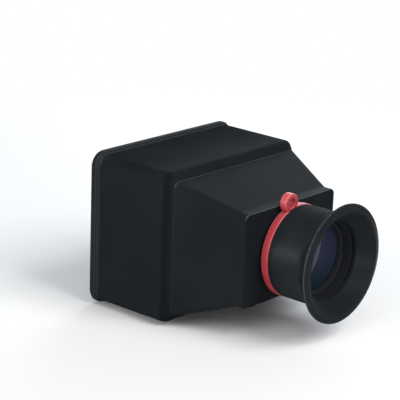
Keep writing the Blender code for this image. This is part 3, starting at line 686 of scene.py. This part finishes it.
def complete(material, numbers, shade, roughness=None, grain=None):
    """Sets the shader's numbers that are the same all over, and links its patterns."""
    tree = material.node_tree
    shader = tree.nodes["Principled BSDF"]
    for socket, pattern in (("Base Color", shade), ("Roughness", roughness), ("Normal", grain)):
        if pattern:
            tree.links.new(pattern, shader.inputs[socket])
    for socket, number in numbers.items():
        shader.inputs[socket].default_value = number
    print("finish:", material.name)
    return material


def follow(tree, socket):
    """Feeds a socket with Object coordinates."""
    tree.links.new(tree.nodes.new("ShaderNodeTexCoord").outputs["Object"], socket)


def noise(tree, scale, detail=2.0, stretch=(1, 1, 1)):
    """Noise in Object coordinates; a stretch below 1 draws its grains out along that axis."""
    mapping = tree.nodes.new("ShaderNodeMapping")
    mapping.inputs["Scale"].default_value = stretch
    texture = tree.nodes.new("ShaderNodeTexNoise")
    texture.inputs["Scale"].default_value = scale
    texture.inputs["Detail"].default_value = detail
    follow(tree, mapping.inputs["Vector"])
    tree.links.new(mapping.outputs["Vector"], texture.inputs["Vector"])
    return texture.outputs["Fac"]


def along(tree, axis):
    """How far a point lies along one axis of its object, in metres."""
    parts = tree.nodes.new("ShaderNodeSeparateXYZ")
    follow(tree, parts.inputs["Vector"])
    return parts.outputs[axis]


def worn_and_lit(tree):
    """The wear and painted light of each point: 0 on a flat face, 1 on a sharp edge that faces up, which is
    wear and painted highlight, and below 0 where shade is painted on the shoulder's flanks.
    """
    attribute = tree.nodes.new("ShaderNodeAttribute")
    attribute.attribute_name = "wear_and_painted_light"
    return attribute.outputs["Fac"]


def spread(tree, value, low, high, first, last):
    """Maps values from low to high onto first to last, and stops at both ends."""
    node = tree.nodes.new("ShaderNodeMapRange")
    for socket, number in zip(("From Min", "From Max", "To Min", "To Max"), (low, high, first, last)):
        node.inputs[socket].default_value = number
    tree.links.new(value, node.inputs["Value"])
    return node.outputs["Result"]


def combined(tree, first, second, operation="MULTIPLY"):
    """One pattern times another one, unless another operation is named."""
    node = tree.nodes.new("ShaderNodeMath")
    node.operation = operation
    tree.links.new(first, node.inputs[0])
    tree.links.new(second, node.inputs[1])
    return node.outputs["Value"]


def colours(tree, pattern, first, second):
    """Mix of two colours, or of a colour socket and a colour, by a pattern."""
    node = tree.nodes.new("ShaderNodeMix")
    node.data_type = "RGBA"
    tree.links.new(pattern, node.inputs["Factor"])
    for socket, colour in ((node.inputs[6], first), (node.inputs[7], second)):
        if isinstance(colour, bpy.types.NodeSocket):
            tree.links.new(colour, socket)
        else:
            socket.default_value = (*colour, 1)
    return node.outputs[2]


def relief(tree, height, depth_mm, under=None):
    """Bump of a pattern, its full height in millimetres, on top of another bump."""
    node = tree.nodes.new("ShaderNodeBump")
    node.inputs["Distance"].default_value = depth_mm * MM
    tree.links.new(height, node.inputs["Height"])
    if under:
        tree.links.new(under, node.inputs["Normal"])
    return node.outputs["Normal"]


print("a relief of 1 mm is", MM, "in a Bump node")

# %% [markdown]
# Three things come back in nearly every finish: a colour that drifts between two shades, a
# roughness that varies from spot to spot, and an edge that is rubbed in patches. Colours are
# written as a picture shows them, and a formula turns them into what a shader takes.

# %% Helpers for shades and edges
MIDDLE_OF_NOISE, MOST_OF_NOISE = (0.35, 0.65), (0.3, 0.7)


def from_screen(red, green, blue):
    """Each number over 255, then over 12.92 if it is dark, else ((value + 0.055) / 1.055) to the 2.4."""
    value = np.array([red, green, blue]) / 255
    return tuple(np.where(value <= 0.04045, value / 12.92, ((value + 0.055) / 1.055) ** 2.4))


def drifting(tree, scale, detail, dark, pale):
    """Two shades that run into each other over a noise."""
    return colours(tree, spread(tree, noise(tree, scale, detail), *MIDDLE_OF_NOISE, 0, 1), dark, pale)


def uneven(tree, scale, detail, low, high):
    """A number that varies between low and high over a noise."""
    return spread(tree, noise(tree, scale, detail), *MOST_OF_NOISE, low, high)


def rubbed_and_lit_edges(tree, start, full, scale, least, most):
    """Wear and painted highlight counted from start to full, times a noise, so that an edge takes its edge
    shade in patches.
    """
    return combined(tree, spread(tree, worn_and_lit(tree), start, full, 0, 1), uneven(tree, scale, 3, least, most))


print("mid grey 128 as a shader takes it:", round(float(from_screen(128, 128, 128)[0]), 3))

# %% [markdown]
# ## Satin moulded plastic
# The hood is black plastic from a spark-eroded mould: its skin is a fine orange peel that carries no gloss.
# The colour drifts a little with the flow of the plastic, and edges are a shade paler, by wear and by a
# painted highlight on those that face up. Towards the eye, where fingers hold it, the skin gets smoother:
# slowly along the first stage, and at once from there to the pyramid. An image of such plastic would tile
# visibly, while noises at several scales never repeat. The tube is matt, and the lens rings are anodised,
# with the same skin; their edges are painted darker, a painted shade that keeps lit lines off them.

# %% Black plastic
# The darkest black is painted shade on the shoulder's flanks.
PAINTED_SHADE_BLACK = from_screen(17, 20, 22)
FIRST_STAGE_Y, PYRAMID_Y = (-0.008, -0.034), (-0.036, -0.042)


def satin_plastic(name, body, edge, skin, gloss):
    """Plastic of two body shades and an edge shade.

    Its roughness is the first number of skin at the rim, the second at the first stage's end
    and the third on all that lies nearer the eye, times a noise of 8 percent either way.
    """
    rim, stage_end, pyramid = skin
    material, tree = new_finish(name)
    shade = drifting(tree, 45, 4, *body)
    # Wear below 0 paints the shoulder's flanks darker: painted shade.
    shade = colours(tree, spread(tree, worn_and_lit(tree), -1, 0, 1, 0), shade, PAINTED_SHADE_BLACK)
    # Edges take the edge shade by wear and by painted highlight on those that face up.
    shade = colours(tree, rubbed_and_lit_edges(tree, 0.25, 0.75, 700, 0.5, 1), shade, edge)
    first_stage = spread(tree, along(tree, "Y"), *FIRST_STAGE_Y, rim, stage_end)
    second_stage = spread(tree, along(tree, "Y"), *PYRAMID_Y, 1, pyramid / stage_end)
    roughness = combined(tree, combined(tree, first_stage, second_stage), uneven(tree, 1500, 2, 0.92, 1.08))
    grain = relief(tree, noise(tree, 4200, 2), 0.012)
    grain = relief(tree, noise(tree, 1100, 2), 0.008, grain)
    return complete(material, {"Specular IOR Level": gloss}, shade, roughness, grain)


hood_finish = satin_plastic(
    "satin black plastic", body=(from_screen(22, 25, 28), from_screen(26, 29, 32)),
    edge=from_screen(76, 80, 84), skin=(1.0, 0.75, 0.54), gloss=0.017,
)
# The tube's and the rings' near-black edge colour is painted shade that keeps lit lines off their rounded
# edges.
barrel_finish = satin_plastic(
    "matt black plastic", body=(from_screen(31, 33, 35), from_screen(35, 37, 39)),
    edge=from_screen(10, 10, 11), skin=(0.6, 0.6, 0.6), gloss=0.006,
)
ring_finish = satin_plastic(
    "anodised black", body=(from_screen(38, 40, 42), from_screen(42, 44, 46)),
    edge=from_screen(12, 12, 13), skin=(0.6, 0.6, 0.6), gloss=0.006,
)

# %% [markdown]
# ## Rubber
# The cup's rubber is as black as the hood, but its skin is smoother and shows soft
# highlights where it is wiped, on its left and right. On top and below it is duller, because
# dust settles there. A second material could be painted on, but the height of a point,
# squared, says the same for both sides at once.

# %% Rubber
WIPED, DUSTY = 0.006, 0.016
DUST = 2.2


def rubber(name):
    """Rubber whose roughness is 0.36 to 0.42 by a noise, times 1 to DUST from WIPED to DUSTY metres."""
    material, tree = new_finish(name)
    shade = drifting(tree, 70, 4, from_screen(22, 25, 28), from_screen(26, 29, 32))
    # Edges are paler by wear and by painted highlight, most on the rim's thin outer line.
    shade = colours(tree, rubbed_and_lit_edges(tree, 0.35, 0.8, 500, 0.3, 0.9), shade, from_screen(68, 72, 76))
    height = along(tree, "Z")
    dull = spread(tree, combined(tree, height, height), WIPED ** 2, DUSTY ** 2, 1, DUST)
    roughness = combined(tree, dull, uneven(tree, 900, 3, 0.36, 0.42))
    grain = relief(tree, noise(tree, 3000, 3), 0.01)
    return complete(material, {"Specular IOR Level": 0.08}, shade, roughness, grain)


rubber_finish = rubber("black rubber")

# %% [markdown]
# ## Coral plastic
# The ring is through-coloured plastic, so light goes a little way into it and comes out redder, and its
# edges are paler, by wear and by a painted highlight on those that face up. A plain red surface would look
# painted. Subsurface scattering does it, with a reach of about a millimetre for red and less for the rest.

# %% Coral plastic
REACH_OF_LIGHT = (0.0012, 0.0004, 0.0003)


def coral(name):
    """Red plastic: a drifting red, paler by the wear and painted highlight of its edges, with a little
    light inside.
    """
    material, tree = new_finish(name)
    shade = drifting(tree, 120, 3, from_screen(163, 55, 61), from_screen(173, 63, 69))
    # Edges are paler by wear and by painted highlight.
    shade = colours(tree, worn_and_lit(tree), shade, from_screen(226, 112, 118))
    roughness = uneven(tree, 800, 2, 0.34, 0.44)
    grain = relief(tree, noise(tree, 2600, 2), 0.008)
    numbers = {"Subsurface Weight": 0.06, "Subsurface Radius": REACH_OF_LIGHT, "Subsurface Scale": 1.0}
    return complete(material, {"Specular IOR Level": 0.3, **numbers}, shade, roughness, grain)


coral_finish = coral("coral red plastic")

# %% [markdown]
# ## Painted steel
# The frame is sprayed with matt black paint that has a faint orange peel, and grey steel shows through it
# where the loupe rubs, and also where light is painted on its face and top edges. Scratches could be drawn
# one by one, but at this size wear times a fine noise reads as them.

# %% Painted steel
def painted_steel(name):
    """Matt paint, with steel showing by the wear and painted light times a noise."""
    material, tree = new_finish(name)
    scratches = spread(tree, noise(tree, 2400, 3), *MIDDLE_OF_NOISE, 0.4, 0.55)
    # Steel shows by wear, and by painted light on the face and top edges.
    chipped_and_lit = combined(tree, worn_and_lit(tree), scratches)
    paint = drifting(tree, 60, 3, from_screen(22, 24, 26), from_screen(26, 28, 30))
    shade = colours(tree, chipped_and_lit, paint, from_screen(62, 66, 70))
    roughness = spread(tree, chipped_and_lit, 0, 1, 0.7, 0.5)
    grain = relief(tree, noise(tree, 1800, 2), 0.008)
    return complete(material, {"Specular IOR Level": 0.05}, shade, roughness, grain)


paint_finish = painted_steel("black painted steel")

# %% [markdown]
# ## Foam
# Foam shows its cells. A noise would give soft lumps, so a Voronoi pattern is used, which makes small pits
# of even size, dark in the middle and paler on the walls between them: a painted shade in each pit.

# %% Foam
def foam(name):
    """Black foam: relief, and a painted shade in each pit, follow the distance to the nearest cell's
    middle.
    """
    material, tree = new_finish(name)
    cells = tree.nodes.new("ShaderNodeTexVoronoi")
    cells.inputs["Scale"].default_value = 3200
    follow(tree, cells.inputs["Vector"])
    pit_and_shade = spread(tree, cells.outputs["Distance"], 0, 0.6, 0, 1)
    shade = colours(tree, pit_and_shade, from_screen(16, 16, 17), from_screen(44, 44, 46))
    roughness = uneven(tree, 300, 3, 0.85, 0.98)
    return complete(material, {"Specular IOR Level": 0.2}, shade, roughness, relief(tree, pit_and_shade, 0.08))


foam_finish = foam("cut black foam")

# %% [markdown]
# ## Nickel and blackened steel
# The magnets are nickel plated and the screws blackened. Both are metal, so their colour is
# the colour of their reflection. The bars were ground along their length before plating,
# which a noise drawn out along that axis shows as fine streaks.

# %% Metals
def metal(name, pale, dark, low, high, brushed):
    """Metal with streaks in its colour and relief, and a roughness between low and high."""
    material, tree = new_finish(name)
    streaks = noise(tree, 900, 3, brushed)
    shade = colours(tree, spread(tree, streaks, *MIDDLE_OF_NOISE, 0, 1), dark, pale)
    roughness = uneven(tree, 250, 3, low, high)
    return complete(material, {"Metallic": 1.0}, shade, roughness, relief(tree, streaks, 0.003))


nickel_finish = metal(
    "nickel plate", pale=from_screen(208, 204, 196), dark=from_screen(176, 172, 164),
    low=0.22, high=0.34, brushed=(0.1, 1, 1),
)
screw_finish = metal(
    "blackened steel", pale=from_screen(66, 66, 70), dark=from_screen(44, 44, 48),
    low=0.34, high=0.48, brushed=(1, 1, 1),
)

# %% [markdown]
# ## Coated glass
# The lenses have a coating that kills most of the reflection and tints the rest violet, which the shader
# takes as the tint of its specular light. The eye lens looks nearly black, because the hood behind it is
# dark: a dark violet base paints that shade in at once, where clear glass would show noise. Low down the
# glass is painted darker and greener, a painted reflection.

# %% Coated glass
GLASS_IOR = 1.49
PAINTED_REFLECTION_Z = (0.002, -0.010)


def coated_glass(name, first, second, low, clear, tint):
    """Glass that drifts between two colours, and is painted towards a third one low down, as a painted
    reflection.
    """
    material, tree = new_finish(name)
    haze = spread(tree, noise(tree, 160, 4), 0.35, 0.7, 0, 1)
    # Darker and greener low down: a painted reflection.
    painted_low_reflection = spread(tree, along(tree, "Z"), *PAINTED_REFLECTION_Z, 0, 1)
    coat = colours(tree, painted_low_reflection, colours(tree, haze, first, second), low)
    numbers = {"IOR": GLASS_IOR, "Transmission Weight": clear, "Specular IOR Level": 0.38}
    numbers["Specular Tint"] = (*tint, 1)
    return complete(material, numbers, coat, spread(tree, haze, 0, 1, 0.008, 0.02))


clear_finish = coated_glass(
    "clear coated glass", first=(0.9, 0.91, 0.95), second=(0.93, 0.94, 0.97), low=(0.9, 0.94, 0.95),
    clear=1.0, tint=(0.6, 0.65, 1.0),
)
violet_finish = coated_glass(
    "violet coated glass", first=(0.024, 0.027, 0.053), second=(0.028, 0.031, 0.059),
    low=(0.012, 0.02, 0.029), clear=0.1, tint=(0.4, 0.45, 0.64),
)

# %% [markdown]
# ## Who wears which finish
# New pieces get their finish as their first material. The magnets, the carrier and the lock
# ring could be redrawn too, but their CAD shape is right, so only their material changes.

# %% Hand out the finishes
worn_by = [
    (hood_finish, [front_housing, rear_housing]), (barrel_finish, [lens_tube]),
    (ring_finish, [spacer, retaining_ring]), (rubber_finish, [eyecup]),
    (coral_finish, [lanyard_ring]), (paint_finish, [screen_frame]),
    (foam_finish, [tape, light_seal]), (screw_finish, screws),
    (clear_finish, [field_lens]), (violet_finish, [eye_lens]),
]
for finish, pieces in worn_by:
    for piece in pieces:
        piece.data.materials.append(finish)

for node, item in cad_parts.items():
    is_magnet = node.startswith("magnet_") and node != "magnet_carrier"
    for slot in item.material_slots:
        slot.material = nickel_finish if is_magnet else barrel_finish
print("materials:", len(bpy.data.materials))

# %% [markdown]
# ## Floor and backdrop
# The picture is taken on a white sweep, which curves up into the backdrop and leaves no
# horizon. A bent sheet could do that here too, but it would throw its own light on the
# loupe. So the floor is a flat plane that keeps the shadow and fades to plain white further
# out, but only for the rays that look: the light it throws back is that of paper. The world
# has two faces in the same way: what the camera, gloss and glass see is white at strength 1,
# and what lights the loupe is a quiet grey, so that dark colours render about as written.

# %% Floor
FLOOR_HEIGHT = -0.031
FLOOR_REACH = 4.0
FADE_FROM, FADE_TO = 0.14, 0.34


def looking(tree):
    """1 for rays that look: from the camera, off a gloss or through glass; 0 for those that light."""
    path = tree.nodes.new("ShaderNodeLightPath")
    looks = path.outputs["Is Camera Ray"]
    for kind in ("Is Glossy Ray", "Is Transmission Ray"):
        looks = combined(tree, looks, path.outputs[kind], "MAXIMUM")
    return looks


def show_mix(tree, share, first, second, output):
    """Mixes two shaders by the share of the second, and shows the mix."""
    node = tree.nodes.new("ShaderNodeMixShader")
    for socket, source in zip(node.inputs, (share, first.outputs[0], second.outputs[0])):
        tree.links.new(source, socket)
    tree.links.new(node.outputs["Shader"], output.inputs["Surface"])


floor_mesh = bpy.data.meshes.new("white_floor")
sides = ((-1, -1), (1, -1), (1, 1), (-1, 1))
floor_corners = [(x * FLOOR_REACH, y * FLOOR_REACH, FLOOR_HEIGHT) for x, y in sides]
floor_mesh.from_pydata(floor_corners, [], [(0, 1, 2, 3)])
floor = new_object("white_floor", floor_mesh)
floor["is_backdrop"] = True
print("floor at", 1000 * FLOOR_HEIGHT, "mm")

# %% Paper that fades to white
paper, floor_tree = new_finish("white paper")
tint = colours(floor_tree, noise(floor_tree, 6, 2), (0.92, 0.915, 0.91), (0.94, 0.935, 0.93))
complete(paper, {"Roughness": 0.9, "Specular IOR Level": 0.1}, tint)

distance = floor_tree.nodes.new("ShaderNodeVectorMath")
distance.operation = "LENGTH"
follow(floor_tree, distance.inputs[0])
far_out = spread(floor_tree, distance.outputs["Value"], FADE_FROM, FADE_TO, 0, 1)
white = floor_tree.nodes.new("ShaderNodeEmission")
white.inputs["Color"].default_value = (1, 1, 1, 1)
share = combined(floor_tree, far_out, looking(floor_tree))
sheet, output = (floor_tree.nodes[name] for name in ("Principled BSDF", "Material Output"))
show_mix(floor_tree, share, sheet, white, output)
floor_mesh.materials.append(paper)

# %% World
QUIET = 0.2

world = bpy.data.worlds.new("studio")
bpy.context.scene.world = world
world.use_nodes = True
sky = world.node_tree
sky.nodes.clear()
seen = sky.nodes.new("ShaderNodeBackground")
seen.inputs["Color"].default_value = (1, 1, 1, 1)
lighting = sky.nodes.new("ShaderNodeBackground")
lighting.inputs["Color"].default_value = (0.95, 0.97, 1, 1)
lighting.inputs["Strength"].default_value = QUIET
show_mix(sky, looking(sky), lighting, seen, sky.nodes.new("ShaderNodeOutputWorld"))
print("world lights at", QUIET, "and is seen at 1")

# %% [markdown]
# ## Six soft boxes
# Square area lamps stand for a studio's soft boxes; a sun lamp would give hard edges. The
# first hangs high before the eye end: it lights every face that looks up or towards the eye,
# and its shadow falls behind the loupe, out of sight. Two on the left model the long side
# wall, and the low one also puts the highlight inside the cup. The side box, left of the
# screen end, draws the highlight down the cup's barrel. The last two, on the right, are cool
# and graze the top faces, so that these grow paler from left to right.

# %% Soft boxes
def softbox(name, place, target, side, power, colour=(1, 1, 1)):
    """Square area light that looks at a target: places in metres, power in watts."""
    light = bpy.data.lights.new(name, "AREA")
    light.shape = "SQUARE"
    light.size = side
    light.energy = power
    light.color = colour
    lamp = new_object(name, light)
    lamp.location = place
    lamp.rotation_mode = "QUATERNION"
    lamp.rotation_quaternion = (Vector(target) - Vector(place)).to_track_quat("-Z", "Y")
    print(f"{name}: {power} W from a square of {side} m")


MIDDLE = (0, -0.05, 0)
COOL = (0.82, 0.91, 1)
softbox("high_box", (0.1, -0.95, 0.9), MIDDLE, side=0.8, power=13.6)
softbox("upper_left_box", (-0.6, -0.35, 0.85), MIDDLE, side=0.8, power=2.3)
softbox("low_left_box", (-0.75, -0.5, 0.0), (0, -0.09, 0), side=0.25, power=3.2)
softbox("side_box", (-0.62, 0.21, 0.04), (0, -0.08, 0), side=0.42, power=4.2, colour=(0.97, 0.99, 1))
softbox("right_box", (0.7, 0.1, 0.3), MIDDLE, side=0.4, power=1.2, colour=COOL)
softbox("grazing_box", (0.34, 0.17, 0.15), (0, -0.02, 0.03), side=0.2, power=0.47, colour=COOL)

# %% [markdown]
# ## The camera
# The picture looks at the loupe from its left and a little from above, with a long lens.
# A Track To constraint could aim the camera, but it leaves out the roll. Three angles say
# where it stands and how it leans: one round the upright axis, one above the horizon, and
# the roll. Its own axes are the direction back from the object and two across, turned by
# the roll.

# %% Camera
FILM_WIDTH = 36
NEAREST, FARTHEST = 0.01, 50


def stand(azimuth, height, roll, centre, distance, lens):
    """Camera that looks at a centre: angles in degrees, the rest in millimetres."""
    azimuth, height, roll = np.radians([azimuth, height, roll])
    back = np.array([-np.sin(azimuth) * np.cos(height), -np.cos(azimuth) * np.cos(height), np.sin(height)])
    right = np.array([np.cos(azimuth), -np.sin(azimuth), 0])
    up = np.cross(back, right)
    across = right * np.cos(roll) + up * np.sin(roll)
    upright = up * np.cos(roll) - right * np.sin(roll)
    data = bpy.data.cameras.new("camera")
    data.lens = lens
    data.sensor_width = FILM_WIDTH
    data.clip_start, data.clip_end = NEAREST, FARTHEST
    camera = new_object("camera", data)
    matrix = np.eye(4)
    matrix[:3, 0], matrix[:3, 1], matrix[:3, 2] = across, upright, back
    matrix[:3, 3] = (np.array(centre) + back * distance) * MM
    camera.matrix_world = Matrix(matrix)
    return camera


camera = stand(
    azimuth=49.0, height=17.19, roll=2.117, centre=(-32.38, -50.0, 21.67), distance=593.05, lens=146.14
)
bpy.context.scene.camera = camera
bpy.context.scene.view_settings.view_transform = "Standard"
print("camera at", [round(1000 * x) for x in camera.matrix_world.translation], "mm")

# %% [markdown]
# ## Both boxes at the end
# The dressed loupe must fill the same box as the CAD model. Scaling it to fit would hide a
# mistake, so both boxes are only written down and printed.

# %% Sizes and the end
dressed_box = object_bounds()
boxes = {
    "cad": [list(corner) for corner in cad_box],
    "visual": [list(corner) for corner in dressed_box],
}
for name, box in boxes.items():
    print(name, "box in mm:", [[round(1000 * x, 2) for x in corner] for corner in box])
